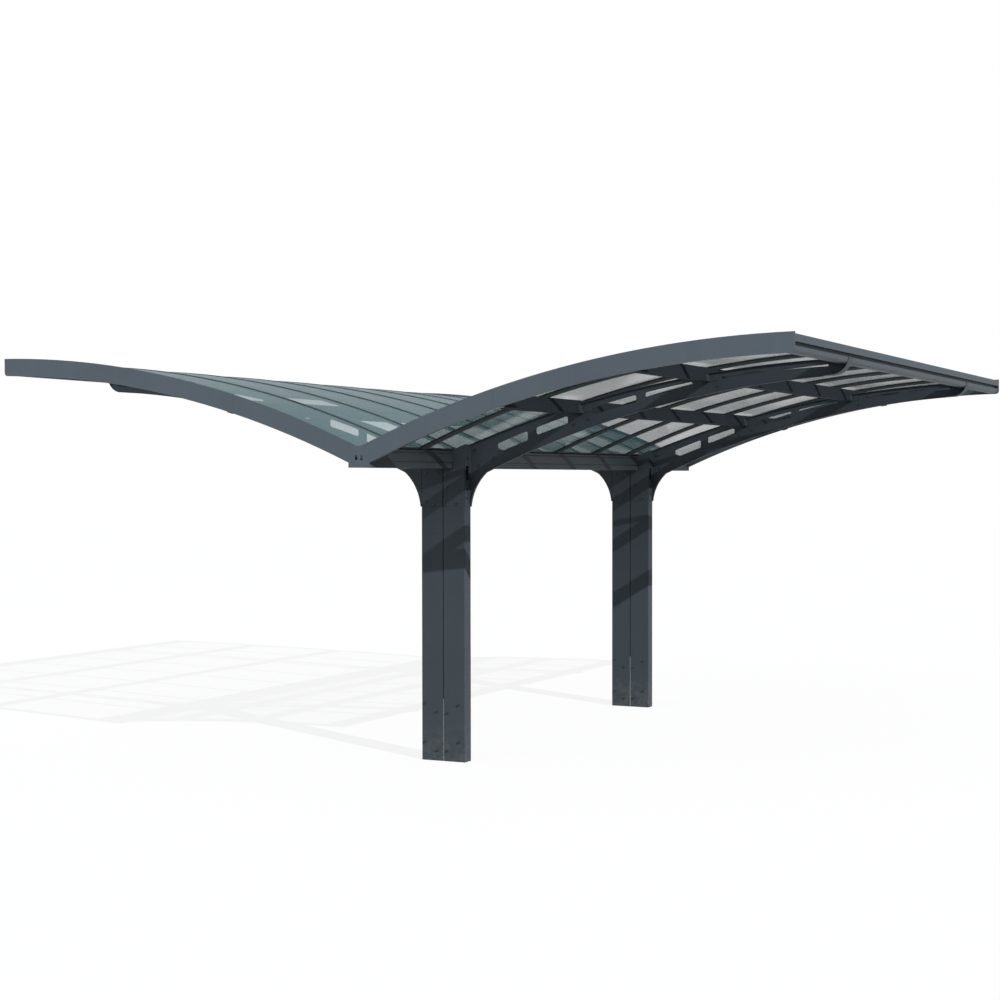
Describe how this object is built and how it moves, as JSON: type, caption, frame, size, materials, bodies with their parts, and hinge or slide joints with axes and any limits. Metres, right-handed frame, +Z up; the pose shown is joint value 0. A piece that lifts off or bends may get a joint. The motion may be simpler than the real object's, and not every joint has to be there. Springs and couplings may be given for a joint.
{
  "type": "butterfly carport",
  "caption": "Open butterfly carport with posts in line, curved slotted arms, arched translucent roof wings and a valley gutter between them.",
  "frame": {"origin": "middle of the carport on the ground, half way between the two posts", "axes": "+X across the wings to the right, +Y along the gutter to the rear, +Z up"},
  "size_m": [5.672, 5.4, 2.7356],
  "materials": {
    "frame_paint": "satin anthracite powder coat",
    "trim_paint": "satin blue-grey powder coat",
    "bar_paint": "dark anodised",
    "roof_sheet": "tinted translucent sheet",
    "zinc": "galvanised"
  },
  "bodies": {
    "root": {"fascia_splice_plates": "trim_paint", "front_foot_bracket": "zinc", "front_left_arm": "frame_paint", "front_left_fascia": "trim_paint", "front_post_head": "frame_paint", "front_post_left_half": "frame_paint", "front_post_right_half": "frame_paint", "front_right_arm": "frame_paint", "front_right_fascia": "trim_paint", "gutter_end_caps": "trim_paint", "left_eave_beam": "trim_paint", "left_glazing_bars": "bar_paint", "left_inner_purlin": "frame_paint", "left_outer_purlin": "frame_paint", "left_roof_panel_1": "roof_sheet", "left_roof_panel_2": "roof_sheet", "left_roof_panel_3": "roof_sheet", "left_roof_panel_4": "roof_sheet", "left_roof_panel_5": "roof_sheet", "left_roof_panel_6": "roof_sheet", "left_roof_panel_7": "roof_sheet", "left_roof_panel_8": "roof_sheet", "purlin_brackets": "frame_paint", "rear_foot_bracket": "zinc", "rear_left_arm": "frame_paint", "rear_left_fascia": "trim_paint", "rear_post_head": "frame_paint", "rear_post_left_half": "frame_paint", "rear_post_right_half": "frame_paint", "rear_right_arm": "frame_paint", "rear_right_fascia": "trim_paint", "right_eave_beam": "trim_paint", "right_glazing_bars": "bar_paint", "right_inner_purlin": "frame_paint", "right_outer_purlin": "frame_paint", "right_roof_panel_1": "roof_sheet", "right_roof_panel_2": "roof_sheet", "right_roof_panel_3": "roof_sheet", "right_roof_panel_4": "roof_sheet", "right_roof_panel_5": "roof_sheet", "right_roof_panel_6": "roof_sheet", "right_roof_panel_7": "roof_sheet", "right_roof_panel_8": "roof_sheet", "valley_closures": "frame_paint", "valley_gutter": "frame_paint"}
  },
  "joints": []
}
